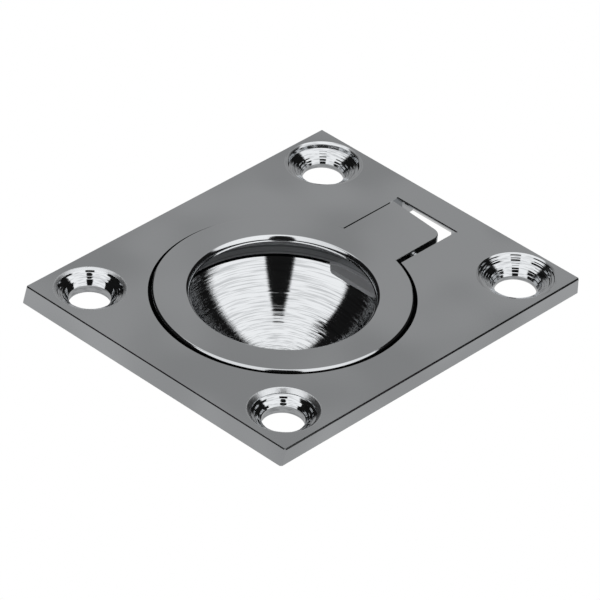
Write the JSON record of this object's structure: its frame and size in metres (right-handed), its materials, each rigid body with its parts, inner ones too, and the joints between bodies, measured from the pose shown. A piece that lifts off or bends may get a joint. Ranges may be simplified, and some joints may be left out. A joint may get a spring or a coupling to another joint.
{
  "type": "lift ring",
  "caption": "Flush lift ring: a countersunk rectangular plate with a turned finger cup, and a hinged pull ring that lies flat in its recess.",
  "frame": {"origin": "middle of the four screw holes, on the back face of the plate", "axes": "+Z out of the front face, +X along the plate's length towards the hinge, +Y along the hinge pin"},
  "size_m": [0.0452, 0.0382, 0.0113],
  "materials": {
    "plated_casting": "chrome plate over a turned and linished casting",
    "plated_ring": "chrome plate over a polished casting",
    "pin_metal": "drawn wire"
  },
  "bodies": {
    "base": {"base_plate": "plated_casting", "hinge_pin": "pin_metal"},
    "ring": {"lift_ring": "plated_ring"}
  },
  "joints": [
    {"name": "ring_hinge", "type": "hinge", "parent": "base", "child": "ring", "pos_m": [0.0128, 0, 0.00135], "axis": [0, 1, 0], "range_deg": [0, 90]}
  ]
}
